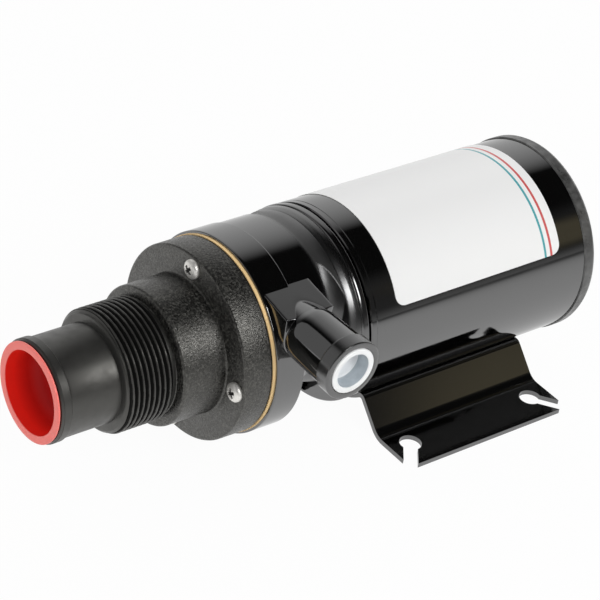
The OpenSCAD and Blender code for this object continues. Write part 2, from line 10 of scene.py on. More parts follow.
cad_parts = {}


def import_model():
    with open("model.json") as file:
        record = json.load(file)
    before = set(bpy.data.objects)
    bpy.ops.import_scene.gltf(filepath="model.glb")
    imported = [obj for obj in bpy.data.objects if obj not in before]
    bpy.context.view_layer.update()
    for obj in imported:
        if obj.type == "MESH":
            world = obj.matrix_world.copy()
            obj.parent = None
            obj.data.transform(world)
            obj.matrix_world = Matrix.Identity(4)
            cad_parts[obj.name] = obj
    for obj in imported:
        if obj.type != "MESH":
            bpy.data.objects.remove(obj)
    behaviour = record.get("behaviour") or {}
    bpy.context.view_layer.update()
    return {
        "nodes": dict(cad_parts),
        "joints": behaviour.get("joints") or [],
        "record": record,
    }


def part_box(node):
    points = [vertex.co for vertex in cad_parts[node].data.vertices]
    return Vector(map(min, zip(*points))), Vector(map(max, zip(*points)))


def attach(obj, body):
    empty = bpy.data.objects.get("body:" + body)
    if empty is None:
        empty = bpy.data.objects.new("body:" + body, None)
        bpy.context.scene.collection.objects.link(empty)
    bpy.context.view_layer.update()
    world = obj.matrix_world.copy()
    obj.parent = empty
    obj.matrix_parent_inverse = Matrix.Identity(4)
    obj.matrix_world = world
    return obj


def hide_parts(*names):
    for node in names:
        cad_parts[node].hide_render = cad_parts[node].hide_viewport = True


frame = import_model()

MM = 0.001
TURN_STEPS = 240
MOUNTS = {m["name"]: m for m in frame["record"]["mounts"]}
SPIN = next(j for j in frame["joints"] if j["name"] == "rotor_spin")
AXIS = Vector(SPIN["pos_m"])
SLOTS = {s["node"]: s["material_slot"] for s in frame["record"]["subparts"]}
BODY_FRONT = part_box("pump_body")[0].x

# Local Z runs along the shaft, local X is Y and local Y is Z
ON_SHAFT = Matrix(((0, 0, 1, 0), (1, 0, 0, 0), (0, 1, 0, AXIS.z), (0, 0, 0, 1)))


# Shader nodes

def places(tree):
    """Object coordinates."""
    return tree.nodes.new("ShaderNodeTexCoord").outputs["Object"]


def split(tree, place):
    """The X, Y and Z of a place."""
    parts = tree.nodes.new("ShaderNodeSeparateXYZ")
    tree.links.new(place, parts.inputs[0])
    return parts.outputs


def map_range(tree, source, span, to, kind="LINEAR"):
    """Take a span of the source to two values, and what lies outside to the nearer one."""
    ramp = tree.nodes.new("ShaderNodeMapRange")
    ramp.interpolation_type = kind
    for key, value in zip(("From Min", "From Max", "To Min", "To Max"), (*span, *to)):
        ramp.inputs[key].default_value = value
    tree.links.new(source, ramp.inputs["Value"])
    return ramp.outputs["Result"]


def smooth_ramp(tree, source, span, to):
    return map_range(tree, source, span, to, "SMOOTHSTEP")


def combined(tree, operation, *values):
    """Math node on sockets and numbers."""
    made = tree.nodes.new("ShaderNodeMath")
    made.operation = operation
    for value, socket in zip(values, made.inputs):
        if isinstance(value, (int, float)):
            socket.default_value = value
        else:
            tree.links.new(value, socket)
    return made.outputs[0]


def product(tree, first, *others):
    """All the values multiplied together."""
    for other in others:
        first = combined(tree, "MULTIPLY", first, other)
    return first


class Finish:
    """A Principled material with short ways to add procedural detail."""

    def __init__(self, name, color, roughness, **sockets):
        self.material = bpy.data.materials.new(name)
        self.material.use_nodes = True
        self.tree = self.material.node_tree
        self.shader = self.tree.nodes["Principled BSDF"]
        self.set("Base Color", (*color, 1))
        self.set("Roughness", roughness)
        for key, value in sockets.items():
            self.set(key.replace("_", " "), value)
        self.place = places(self.tree)

    def set(self, socket, value):
        self.shader.inputs[socket].default_value = value

    def feed(self, source, socket):
        self.tree.links.new(source, self.shader.inputs[socket])

    def remap(self, source, span, to):
        return map_range(self.tree, source, span, to)

    def along_x(self):
        return split(self.tree, self.place)["X"]

    def noise(self, grain_mm, detail, roughness=0.5):
        """Noise whose features are about grain_mm across."""
        noise = self.tree.nodes.new("ShaderNodeTexNoise")
        noise.inputs["Scale"].default_value = 1 / (grain_mm * MM)
        noise.inputs["Detail"].default_value = detail
        noise.inputs["Roughness"].default_value = roughness
        self.tree.links.new(self.place, noise.inputs["Vector"])
        return noise.outputs["Fac"]

    def color_between(self, share, first, second):
        """Base colour that goes from one plain colour to another."""
        mix = self.tree.nodes.new("ShaderNodeMix")
        mix.data_type = "RGBA"
        mix.inputs["A"].default_value = (*first, 1)
        mix.inputs["B"].default_value = (*second, 1)
        self.tree.links.new(share, mix.inputs["Factor"])
        self.feed(mix.outputs["Result"], "Base Color")

    def mottle(self, first, second, grain_mm, detail, roughness=0.5, span=(0, 1)):
        """Base colour that goes from first to second over a span of noise."""
        noise = self.noise(grain_mm, detail, roughness)
        self.color_between(self.remap(noise, span, (0, 1)), first, second)

    def vary_roughness(self, low, high, grain_mm, detail, span=(0.3, 0.7)):
        """Roughness that goes from low to high over a span of noise."""
        self.feed(self.remap(self.noise(grain_mm, detail), span, (low, high)), "Roughness")

    def ripple(self, depth_mm, grain_mm, detail, roughness=0.5):
        """Bump from noise."""
        bump = self.tree.nodes.new("ShaderNodeBump")
        bump.inputs["Strength"].default_value = 1
        bump.inputs["Distance"].default_value = depth_mm * MM
        self.tree.links.new(self.noise(grain_mm, detail, roughness), bump.inputs["Height"])
        self.feed(bump.outputs["Normal"], "Normal")


# Finishes

WARM_GLINT = (1, 0.98, 0.92, 1)


def grained_plastic():
    """Glass-filled moulding with a grain that catches the light."""
    f = Finish("grained_plastic", (0.01, 0.01, 0.009), 0.36, IOR=1.8, Specular_Tint=WARM_GLINT)
    f.ripple(0.16, grain_mm=0.62, detail=2, roughness=0.6)
    f.vary_roughness(0.27, 0.53, grain_mm=0.55, detail=2, span=(0.36, 0.66))
    black, speck = (0.002, 0.002, 0.002), (0.07, 0.069, 0.062)
    f.mottle(black, speck, grain_mm=0.9, detail=3, roughness=0.72, span=(0.48, 0.68))
    return f.material


def smooth_plastic():
    """The same moulding where it is smooth: spigot and thread."""
    f = Finish("smooth_plastic", (0.018, 0.018, 0.017), 0.3, IOR=1.75, Specular_Tint=WARM_GLINT)
    f.vary_roughness(0.34, 0.48, grain_mm=4, detail=4)
    f.ripple(0.02, grain_mm=1.6, detail=3)
    return f.material


def gloss_black(name, cast=None, matt=0.0, ior=2.33):
    """Black gloss with a faint ripple; cast is a stretch of X where the casting shows through."""
    f = Finish(name, (0.001, 0.001, 0.001), 0.06, IOR=ior)
    f.ripple(0.004, grain_mm=9, detail=1)
    rough = f.remap(f.noise(grain_mm=14, detail=3), (0.35, 0.7), (0.05 + matt, 0.10 + matt))
    if cast:
        start, end = cast
        rise_l, hold_l, cast_matt = 2 * MM, 5 * MM, 0.4
        x = f.along_x()
        rises = f.remap(x, (start, start + rise_l), (0, cast_matt))
        falls = f.remap(x, (start + hold_l, end), (1, 0))
        rough = combined(f.tree, "MULTIPLY_ADD", rises, falls, rough)
    f.feed(rough, "Roughness")
    return f.material


def cap_black():
    """Semi-matt mottled black of the rear cap."""
    f = Finish("cap_black", (0.05, 0.05, 0.049), 0.36, IOR=1.85)
    f.vary_roughness(0.27, 0.48, grain_mm=2.2, detail=4, span=(0.35, 0.7))
    dark, pale = (0.025, 0.025, 0.024), (0.085, 0.085, 0.083)
    f.mottle(dark, pale, grain_mm=6, detail=4, roughness=0.65, span=(0.36, 0.64))
    f.ripple(0.03, grain_mm=1.2, detail=3)
    return f.material


def soft_plastic(name, color, other, roughness):
    """Soft moulded plastic of the transit plugs."""
    f = Finish(name, color, roughness, Subsurface_Weight=0.15)
    f.set("Subsurface Radius", tuple(4 * MM * c for c in color))
    f.mottle(color, other, grain_mm=3, detail=3)
    f.ripple(0.01, grain_mm=1.4, detail=2)
    return f.material


def shaded_cup_red():
    """Red inside the inlet plug, with painted shade that darkens it towards the floor of its cup."""
    f = Finish("red_cup_painted_shade", (0.6, 0.018, 0.014), 0.55, IOR=1.3)
    lo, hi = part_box("inlet_plug")
    bright_to, shade_from = 0.25, 0.9
    span = [lo.x + share * (hi.x - lo.x) for share in (bright_to, shade_from)]
    # Painted shade: the wall keeps its bright red near the lip and darkens to a deep red towards the cup's
    # floor
    f.color_between(f.remap(f.along_x(), span, (0, 1)), (1.0, 0.022, 0.012), (0.38, 0.008, 0.008))
    f.ripple(0.01, grain_mm=1.4, detail=2)
    return f.material


def metal(name, color, other, roughness, grain_mm, metallic=1.0):
    """Bare metal with fine cloudy variation."""
    f = Finish(name, color, roughness, Metallic=metallic)
    f.mottle(color, other, grain_mm, detail=4)
    f.vary_roughness(roughness * 0.8, roughness * 1.25, grain_mm / 3, detail=3)
    f.ripple(0.006, grain_mm / 2, detail=3)
    return f.material


def dull(name, color, other, roughness=0.6, grain_mm=1.5, **sockets):
    """Rubber, carbon, fibre and other dull stuff; also the near-black painted shade of the thread's grooves
    and the screws' recesses.
    """
    f = Finish(name, color, roughness, **sockets)
    f.mottle(color, other, grain_mm, detail=3)
    f.ripple(0.02, grain_mm / 2, detail=2)
    return f.material


def label_film():
    """White satin film with two plain bands round the can near its rear end."""
    film, red, teal = (0.86, 0.86, 0.855), (0.62, 0.10, 0.10), (0.07, 0.36, 0.40)
    bands = [(0.0, film), (0.40, teal), (0.48, film), (0.62, red), (0.70, film)]
    bands_l = 14 * MM
    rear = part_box("label")[1].x
    f = Finish("label_film", film, 0.3, Coat_Weight=0.3, Coat_Roughness=0.2)
    f.ripple(0.006, grain_mm=6, detail=2)
    ramp = f.tree.nodes.new("ShaderNodeValToRGB")
    ramp.color_ramp.interpolation = "CONSTANT"
    while len(ramp.color_ramp.elements) < len(bands):
        ramp.color_ramp.elements.new(1.0)
    for element, (start, color) in zip(ramp.color_ramp.elements, bands):
        element.position = start
        element.color = (*color, 1)
    f.tree.links.new(f.remap(f.along_x(), (rear - bands_l, rear), (0, 1)), ramp.inputs["Fac"])
    f.feed(ramp.outputs["Color"], "Base Color")
    return f.material


# Stretch of the body, round its roof's dip, where the casting shows through
CAST = (BODY_FRONT + 26.8 * MM, BODY_FRONT + 43.5 * MM)

# Plastics have two colours and a roughness; metals also a grain in millimetres and how metallic they are
MATERIALS = {
    "housing_plastic": grained_plastic(),
    "gloss_body": gloss_black("gloss_body", cast=CAST),
    "black_enamel": gloss_black("black_enamel"),
    "cap_finish": cap_black(),
    "red_plastic": soft_plastic("red_plastic", (0.95, 0.19, 0.16), (0.97, 0.22, 0.19), 0.42),
    "white_plastic": soft_plastic("white_plastic", (0.85, 0.86, 0.86), (0.88, 0.89, 0.89), 0.35),
    "stainless": metal("stainless", (0.92, 0.90, 0.86), (0.84, 0.82, 0.78), 0.45, 1.2, 0.75),
    "brass": metal("brass", (1.0, 0.74, 0.38), (1.0, 0.67, 0.31), 0.36, 4, 0.2),
    "bronze": metal("bronze", (0.45, 0.28, 0.14), (0.38, 0.23, 0.11), 0.4, 0.8),
    "copper": metal("copper", (0.70, 0.36, 0.20), (0.60, 0.28, 0.15), 0.3, 1.0),
    "core_steel": metal("core_steel", (0.40, 0.40, 0.41), (0.33, 0.33, 0.34), 0.35, 1.0),
    "rubber": dull("rubber", (0.006, 0.006, 0.006), (0.012, 0.012, 0.012), IOR=1.3),
    "fibre": dull("fibre", (0.22, 0.11, 0.06), (0.28, 0.15, 0.08)),
    "ferrite": dull("ferrite", (0.10, 0.10, 0.105), (0.13, 0.13, 0.135)),
    "carbon": dull("carbon", (0.03, 0.03, 0.032), (0.05, 0.05, 0.052), 0.45),
    "label_film": label_film(),
}
SMOOTH_PLASTIC = smooth_plastic()
RED_CUP_SHADED = shaded_cup_red()
WHITE_CUP = soft_plastic("white_cup", (0.80, 0.82, 0.84), (0.86, 0.87, 0.88), 0.3)
# Painted shade: a dark grey-blue for the inner wall of the white cup
WHITE_WALL_SHADED = soft_plastic("white_wall_painted_shade", (0.34, 0.39, 0.43), (0.56, 0.61, 0.65), 0.18)
TAIL_END = gloss_black("tail_end", matt=0.16)
# Painted shade: a less reflective copy of the black gloss, so the tops of the feet look darker, as if in the
# pump's shade
FOOT_GLOSS_SHADED = gloss_black("foot_gloss_painted_shade", ior=1.5)
# Painted shade: a near-black, dull, hardly reflective copy of the plastic for the thread's grooves
GROOVE_SHADE = dull("thread_groove_painted_shade", (0.004, 0.004, 0.004), (0.008, 0.008, 0.007), 0.7, IOR=1.25)
# Painted shade: a dark dull grey for the deep faces of the screws' cross recesses
RECESS_SHADE = dull("screw_recess_painted_shade", (0.012, 0.012, 0.011), (0.03, 0.03, 0.028), 0.7)


def dress_nodes():
    """Give each CAD node its finish, and the tops of the bracket's feet a less reflective copy of the black
    gloss as painted shade.
    """
    level_z = 0.99
    feet_below = 0.1 * AXIS.z
    for name, node in frame["nodes"].items():
        node.data.materials.clear()
        node.data.materials.append(MATERIALS[SLOTS[name]])
    bracket = frame["nodes"]["mounting_bracket"]
    bracket.data.materials.append(FOOT_GLOSS_SHADED)
    for face in bracket.data.polygons:
        level = (bracket.matrix_world.to_3x3() @ face.normal).z > level_z
        if level and (bracket.matrix_world @ face.center).z < feet_below:
            face.material_index = 1


# Mesh helpers

def add_object(name, data):
    made = bpy.data.objects.new(name, data)
    bpy.context.scene.collection.objects.link(made)
    return made


def mesh_piece(name, verts, faces, materials, body, node):
    """A smooth mesh that rides on a body, in the finish of the node that it stands for."""
    mesh = bpy.data.meshes.new(name)
    mesh.from_pydata([tuple(v) for v in verts], [], [tuple(f) for f in faces])
    mesh.update()
    piece = add_object(name, mesh)
    for material in materials:
        mesh.materials.append(material)
    mesh.shade_smooth()
    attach(piece, body)
    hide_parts(node)
    return piece


def crease(piece, degrees):
    """Shade the edges that turn by more than this as hard."""
    piece.data.set_sharp_from_angle(angle=math.radians(degrees))


def turned(rings, place, steps=TURN_STEPS):
    """Vertices and faces of a turned solid from rings (height, radius).

    A radius may vary round the turn. The rings close into a loop unless the first and last lie on the axis.
    """
    turn = np.arange(steps) * 2 * math.pi / steps
    capped = np.max(rings[0][1]) == 0
    walls = rings[1:-1] if capped else rings
    rows = []
    for height, radius in walls:
        r = np.broadcast_to(radius, steps)
        rows.append(np.column_stack([r * np.cos(turn), r * np.sin(turn), np.broadcast_to(height, steps)]))
    local = np.concatenate(rows)
    here = np.arange(steps)
    after = (here + 1) % steps
    faces = []
    for i in range(len(rows) - 1 if capped else len(rows)):
        j = (i + 1) % len(rows)
        quads = np.column_stack([i * steps + here, i * steps + after, j * steps + after, j * steps + here])
        faces += [tuple(int(v) for v in quad) for quad in quads]
    if capped:
        first, last = len(local), len(local) + 1
        local = np.vstack([local, (0, 0, rings[0][0]), (0, 0, rings[-1][0])])
        end = (len(rows) - 1) * steps
        faces += [(first, int(after[i]), int(i)) for i in range(steps)]
        faces += [(last, int(end + i), int(end + after[i])) for i in range(steps)]
    verts = local @ np.array(place.to_3x3()).T + np.array(place.translation)
    return verts, faces


def rounded(corners):
    """Profile (height, radius) through corners (height, radius, fillet)."""
    arc_steps = 5
    out = []
    for i, (h, r, fillet) in enumerate(corners):
        here = Vector((h, r))
        if fillet == 0 or i in (0, len(corners) - 1):
            out.append((h, r))
            continue
        to_last = (Vector(corners[i - 1][:2]) - here).normalized()
        to_next = (Vector(corners[i + 1][:2]) - here).normalized()
        half = to_last.angle(to_next) / 2
        reach = fillet / math.tan(half)
        centre = here + (to_last + to_next).normalized() * fillet / math.sin(half)
        start, end = here + to_last * reach - centre, here + to_next * reach - centre
        for k in range(arc_steps + 1):
            spoke = start.lerp(end, k / arc_steps).normalized() * fillet
            out.append(tuple(centre + spoke))
    return out


def near(x, r, *offsets):
    """Points of an outline at small offsets (along, out), in millimetres, from a corner."""
    return [(x + along * MM, r + out * MM) for along, out in offsets]


def soft_step(x, start, width):
    t = np.clip((x - start) / width, 0, 1)
    return t * t * (3 - 2 * t)


def soft_floor(x, soft):
    """Like max(x, 0) with a rounded corner."""
    return 0.5 * (x + np.sqrt(x * x + soft * soft)) - 0.5 * soft * np.exp(-np.abs(x) / soft)


def smooth_curve(points):
    """Monotone cubic through points (x, y)."""
    x, y = np.array(points, float).T
    rise = np.diff(y) / np.diff(x)
    slope = np.zeros_like(x)
    goes_on = rise[:-1] * rise[1:] > 0
    before, after = rise[:-1][goes_on], rise[1:][goes_on]
    slope[1:-1][goes_on] = 2 * before * after / (before + after)

    def at(q):
        i = np.clip(np.searchsorted(x, q) - 1, 0, len(x) - 2)
        h = x[i + 1] - x[i]
        t = np.clip((q - x[i]) / h, 0, 1)
        return (y[i] * (1 + 2 * t) * (1 - t) ** 2 + slope[i] * h * t * (1 - t) ** 2
                + y[i + 1] * t * t * (3 - 2 * t) + slope[i + 1] * h * t * t * (t - 1))
    return at


def spans(*pieces):
    """Rows from pieces (start, step), the last one being the end."""
    rows = [np.arange(lo, hi - step / 2, step) for (lo, step), (hi, _) in zip(pieces, pieces[1:])]
    return np.concatenate(rows + [[pieces[-1][0]]])


def block(name, lo, hi):
    """Plain box for cutting."""
    mesh = bpy.data.meshes.new(name)
    shape = bmesh.new()
    bmesh.ops.create_cube(shape, size=1)
    for v in shape.verts:
        v.co = [a + (b - a) * (c + 0.5) for a, b, c in zip(lo, hi, v.co)]
    shape.to_mesh(mesh)
    shape.free()
    return add_object(name, mesh)


def carve(piece, cutter):
    """Cut a closed mesh out of a piece."""
    cut = piece.modifiers.new("cut", "BOOLEAN")
    cut.operation = "DIFFERENCE"
    cut.solver = "MANIFOLD"
    cut.object = cutter
    evaluated = piece.evaluated_get(bpy.context.evaluated_depsgraph_get())
    mesh = bpy.data.meshes.new_from_object(evaluated)
    piece.modifiers.clear()
    piece.data = mesh
    bpy.data.objects.remove(cutter)


# Pieces that stand for CAD nodes

def mount_span(mount):
    """Where a mount on the shaft's axis starts and ends along X."""
    middle, half = mount["pos_m"][0], mount["dims"]["length_mm"] * MM / 2
    return middle - half, middle + half


def housing():
    """Spigot with its bead, helical thread, neck and flange of the inlet housing."""
    lo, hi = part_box("macerator_housing")
    front, rear = lo.x, hi.x
    thread, bead = MOUNTS["inlet_thread"], MOUNTS["inlet_spigot_bead"]
    thread_r = thread["dims"]["r_mm"] * MM
    thread_0, thread_1 = mount_span(thread)
    bead_r = bead["dims"]["r_mm"] * MM
    bead_0, bead_1 = mount_span(bead)
    flange_r = (hi.y - lo.y) / 2
    spigot_r = 19.4 * MM
    bore_r = 17.3 * MM
    neck_r = 27.35 * MM
    chamber_r = 23.95 * MM
    collar_0 = thread_0 - 2.6 * MM
    neck_0 = thread_1 + 2 * MM
    flange_0 = rear - 12.2 * MM
    cone_0, cone_1 = flange_0 - 18 * MM, flange_0 - 15 * MM

    # Half of the crest's flat and the flank are shares of the pitch
    pitch = 2.309 * MM
    depth = 1.48 * MM
    crest_0 = thread_0 - 1.17 * MM
    crest_half, flank = 0.08, 0.37
    lead_drop, lead_slope = 1.9 * MM, 0.95
    row_step = 0.09 * MM

    outer = [
        *near(front, bore_r, (0, 0.2)),
        *near(front, spigot_r, (0, -0.1)),
        *near(front, bead_r, (0.3, -0.4), (0.9, -0.16)),
        (bead_0, bead_r),
        (bead_1, bead_r),
        *near(bead_1, spigot_r, (0.5, 0.12), (1.4, 0)),
        *near(collar_0, spigot_r, (-0.25, 0), (-0.07, 0.07), (0, 0.5)),
        *near(collar_0, thread_r, (0, -2.6), (0.1, -2.1)),
    ]
    turn = np.arange(TURN_STEPS) / TURN_STEPS
    for x in np.arange(collar_0 + 0.2 * MM, thread_1, row_step):
        phase = np.abs(((x - crest_0) / pitch - turn + 0.5) % 1 - 0.5)
        into = np.clip((phase - crest_half) / flank, 0, 1)
        lead_in = thread_r - np.clip(lead_drop - lead_slope * (x - collar_0), 0, None)
        outer.append((x, np.minimum(thread_r - depth * into, lead_in)))
    outer += [
        (thread_1, thread_r - depth),
        *near(thread_1, thread_r, (0.4, -1.5)),
        *near(neck_0, thread_r, (-0.3, -1.5), (0, -1.2)),
        *near(neck_0, neck_r, (0, -1.0), (0.1, -0.62), (0.36, -0.3), (0.7, -0.1), (1.2, 0)),
        *near(flange_0, neck_r, (-0.9, 0), (-0.45, 0.12), (-0.12, 0.45), (0, 0.9)),
        *near(flange_0, flange_r, (0, -1.1), (0.1, -0.65), (0.36, -0.3), (0.8, -0.12)),
        *near(rear, flange_r, (-0.2, 0), (0, -0.2)),
        (rear, chamber_r),
        (cone_1, chamber_r),
        (cone_0, bore_r),
        *near(front, bore_r, (0.2, 0)),
    ]
    verts, faces = turned(outer, ON_SHAFT)
    materials = (MATERIALS["housing_plastic"], SMOOTH_PLASTIC, GROOVE_SHADE)
    piece = mesh_piece("inlet_housing", verts, faces, materials, "pump", "macerator_housing")

    smooth_to = neck_0 - 0.2 * MM
    # Faces deep in the thread's grooves get the painted shade
    groove_0, groove_1, groove_depth = collar_0 + 1.5 * MM, thread_1 + 0.4 * MM, 0.25 * depth
    for face in piece.data.polygons:
        if face.center.x < smooth_to:
            face.material_index = 1
        deep = thread_r - math.hypot(face.center.y, face.center.z - AXIS.z) > groove_depth
        if deep and groove_0 < face.center.x < groove_1:
            face.material_index = 2
    crease(piece, degrees=32)


def pump_body():
    """Drum, roof with its dip, waist and motor flange; millimetres behind the front and from the shaft."""
    length, pad = 43.7, 35.5
    drum_r, drum_l, waist_r, roof_r = 39.8, 13.2, 27.5, 39.3
    dip_at, dip_r, dip_z, dip_rise, dip_power = 28.7, 27.7, 14.0, 4.6, 2.4
    dip_soft, join_soft, pad_drop, hollow_slope = 0.8, 0.3, 4, 0.27
    seam_h, seam_w, seam_back = 0.14, 0.2, 0.25
    chamber_l, chamber_r = 20.9, 24.0
    seal_end, seal_r, hole_r = 27.3, 11, 6.5
    cavity_0, cavity_r, boss_r = 28.8, 22.0, 16

    # Starts and lengths of the soft steps between forms
    drum_end = (drum_l - 0.6, 0.7)
    dip_start = (dip_at - 0.6, 1.3)
    pad_start = (pad - 0.1, 0.9)

    # Degrees round the shaft: the roof's half width, the lug at the bottom and the hollows beside it
    roof_half, roof_side = 65.8, 1.6
    lug_half, lug_side = 8, 8
    hollow_top, hollow_side = 105, 10

    steps = 420
    around = np.arange(steps) * 2 * math.pi / steps
    from_top = np.abs((np.degrees(around) - 90 + 180) % 360 - 180)
    under_roof = soft_step(-from_top, -roof_half, roof_side)
    beside_lug = soft_step(180 - from_top, lug_half, lug_side) * soft_step(from_top, hollow_top, hollow_side)
    waist = smooth_curve([
        (11, 29.6), (13.4, 28.6), (15, waist_r), (28, waist_r), (31.5, 28.7), (34, 31.1), (35, 35.0),
        (35.4, 38.2), (35.8, 39.0), (37.1, 39.45), (38.5, 39.75), (39.9, 39.8), (40.4, 39.5), (41, 40.0),
        (41.7, 40.15), (43.1, 40.15), (43.5, 40.0), (length, 39.6)])

    rings = [(x, drum_r - less) for x, less in ((0.0, 0.35), (0.06, 0.18), (0.18, 0.05))]
    for x in spans((0.35, 0.9), (12.2, 0.08), (14, 0.8), (27.6, 0.07), (30, 0.2), (34.6, 0.06), (36.2, 0.2),
                   (39.5, 0.07), (42.2, 0.2), (43.1, 0.05), (length, 0)):
        tube = waist(x)
        drum = (drum_r - tube) * (1 - soft_step(x, *drum_end))
        hollow = beside_lug * max(tube - waist_r - hollow_slope * max(x - dip_at, 0), 0) * (x > dip_at)
        plain = tube + drum - hollow
        share = np.clip((x - dip_at) / (pad - dip_at), 0, 1)
        ring_r = dip_r + dip_rise * share ** dip_power
        dip = dip_z * np.sin(around) + np.sqrt(np.maximum(ring_r ** 2 - (dip_z * np.cos(around)) ** 2, 0))
        seam = seam_h * math.exp(-((x - drum_l + seam_back) / seam_w) ** 2)
        roof = roof_r + seam - soft_floor(roof_r - dip, dip_soft) * soft_step(x, *dip_start)
        roof = roof - pad_drop * soft_step(x, *pad_start)
        rings.append((x, plain + under_roof * soft_floor(roof - plain, join_soft)))
    rings += [
        (length, boss_r), (pad, boss_r), (pad, cavity_r), (cavity_0, cavity_r), (cavity_0, hole_r),
        (seal_end, hole_r), (seal_end, seal_r), (chamber_l, seal_r), (chamber_l, chamber_r), (0, chamber_r)]
    place = ON_SHAFT.copy()
    place.translation = Vector((BODY_FRONT, 0, AXIS.z))
    verts, faces = turned([(h * MM, r * MM) for h, r in rings], place, steps)
    piece = mesh_piece("body_shell", verts, faces, (MATERIALS["gloss_body"],), "pump", "pump_body")

    window_front, window_rear, window_half = BODY_FRONT + 29 * MM, BODY_FRONT + 34.4 * MM, 12 * MM
    window_low, window_high = AXIS.z - 32.5 * MM, AXIS.z - 5 * MM
    carve(piece, block("window_cut", (window_front, -window_half, window_low),
                       (window_rear, window_half, window_high)))
    crease(piece, degrees=38)


def outlet():
    """Square block and hose tail with its bore; millimetres from the shaft and the outlet's axis."""
    middle = Vector(MOUNTS["outlet_tail"]["pos_m"])
    reach = -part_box("pump_body")[0].y / MM
    root, block_reach, land = 20, 38.4, 6.0
    half_w, top, slope = 10.95, 8.0, math.tan(math.radians(9))
    tail_r, least_r = 12.2, 8.6
    bore_r, plug_r, plug_l = 8.3, 9.55, 12.5
    block_end, block_soft = (block_reach - 0.5, 0.6), 0.35
    corner_power, least_share = 44, 0.001
    steps = 480
    around = np.arange(steps) * 2 * math.pi / steps
    side, up = np.cos(around), np.sin(around)

    def squared(*walls):
        """Radius up to flat walls with slightly rounded corners between them."""
        return sum(np.maximum(w, least_share) ** corner_power for w in walls) ** (-1 / corner_power)

    tail = smooth_curve([
        (root, 6.6), (31, 9.0), (block_reach, 10.5), (41.4, 11.15), (44, 11.3), (reach - land - 0.5, 11.5),
        (reach - land + 0.3, tail_r), (reach - 0.5, tail_r), (reach - 0.15, 12.1), (reach, 11.85)])
    rings = []
    for d in spans((root, 2.0), (30, 0.4), (37.4, 0.07), (39.2, 0.5), (reach - 7, 0.08), (reach - 5, 0.4),
                   (reach - 0.7, 0.05), (reach, 0)):
        cube = squared(side / half_w, -side / half_w, up / (top + (block_reach - d) * slope))
        stem = tail(d)
        joined = stem + soft_floor(np.where(up > 0, cube, half_w) - stem, block_soft)
        radius = stem + (joined - stem) * (1 - soft_step(d, *block_end))
        rings.append((d, np.maximum(radius, least_r)))
    rings += [(reach, 9.9), (reach - 0.1, 9.7), (reach - 0.35, plug_r), (reach - plug_l, plug_r),
              (reach - plug_l, bore_r), (root, bore_r)]
    place = Matrix(((1, 0, 0, middle.x), (0, 0, -1, 0), (0, 1, 0, middle.z), (0, 0, 0, 1)))
    verts, faces = turned([(h * MM, r * MM) for h, r in rings], place, steps)
    piece = mesh_piece("outlet_tail", verts, faces, (MATERIALS["gloss_body"], TAIL_END), "pump", "pump_body")
    for face in piece.data.polygons:
        if face.center.y < (land - reach) * MM:
            face.material_index = 1
    crease(piece, degrees=45)


def recess_depth(u, v):
    """Depth of a screw's cross recess at a place on the head."""
    arm_w, arm_l, deep, soft = 0.55 * MM, 1.9 * MM, 1.1 * MM, 0.12 * MM
    rise = 0.45

    def arm(across, along):
        wide = np.clip((arm_w - np.abs(across)) / soft + 0.5, 0, 1)
        long = np.clip((arm_l - np.abs(along)) / soft + 0.5, 0, 1)
        return wide * long * (1 - rise * np.abs(along) / arm_l)

    return deep * np.maximum(arm(u, v), arm(v, u))


def screws():
    """Pan-head flange screws with a cross recess, a quarter turn apart; faces deep in the recess are painted
    dark as shade.
    """
    lo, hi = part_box("housing_screws")
    head_r = 3.85 * MM
    head_h = 2.6 * MM
    rim_h = 0.9 * MM
    edge = 0.05 * MM
    shank_r = 2 * MM
    crown_power = 2.6
    shade_depth = 0.3 * MM
    circle_r = (hi.y - lo.y) / 2 - head_r
    seat = lo.x + head_h
    shank_l = hi.x - seat
    twists = (0.25, 0.9, 0.55, 1.2)
    steps = 72
    shares = np.linspace(0.04, 1, 44)
    turn = np.arange(steps) * 2 * math.pi / steps
    verts, faces = [], []

    def middle(quarter):
        """Middle of a head, out from the shaft along Y and Z."""
        around = math.pi / 2 * quarter
        return circle_r * math.cos(around), circle_r * math.sin(around)

    def on_arms(point):
        """A place on a head, along the arms of its recess."""
        quarter = round(math.atan2(point.z - AXIS.z, point.y) / (math.pi / 2)) % 4
        y, z = middle(quarter)
        spot = complex(point.y - y, point.z - AXIS.z - z)
        spot *= complex(math.cos(twists[quarter]), math.sin(twists[quarter]))
        return spot.real, spot.imag

    for quarter, twist in enumerate(twists):
        rings = [(-(head_h - recess_depth(0.0, 0.0)), 0)]
        for share in shares:
            r = head_r * share
            u, v = r * np.cos(turn + twist), r * np.sin(turn + twist)
            fall = (head_h - rim_h) * (1 - math.sqrt(max(0.0, 1 - share ** crown_power)))
            rings.append((-(head_h - fall - recess_depth(u, v)), r))
        rings += [(-edge, head_r), (0, head_r - edge), (0, shank_r), (shank_l, shank_r), (shank_l, 0)]
        y, z = middle(quarter)
        place = Matrix(((0, 0, 1, seat), (1, 0, 0, y), (0, 1, 0, AXIS.z + z), (0, 0, 0, 1)))
        some, shell = turned(rings, place, steps)
        faces += [tuple(i + len(verts) for i in face) for face in shell]
        verts += [tuple(v) for v in some]
    piece = mesh_piece("screws", verts, faces, (MATERIALS["stainless"], RECESS_SHADE), "pump", "housing_screws")
    # Faces deep in a recess get the painted shade
    for face in piece.data.polygons:
        if face.center.x < seat - rim_h and recess_depth(*on_arms(face.center)) > shade_depth:
            face.material_index = 1
    crease(piece, degrees=55)


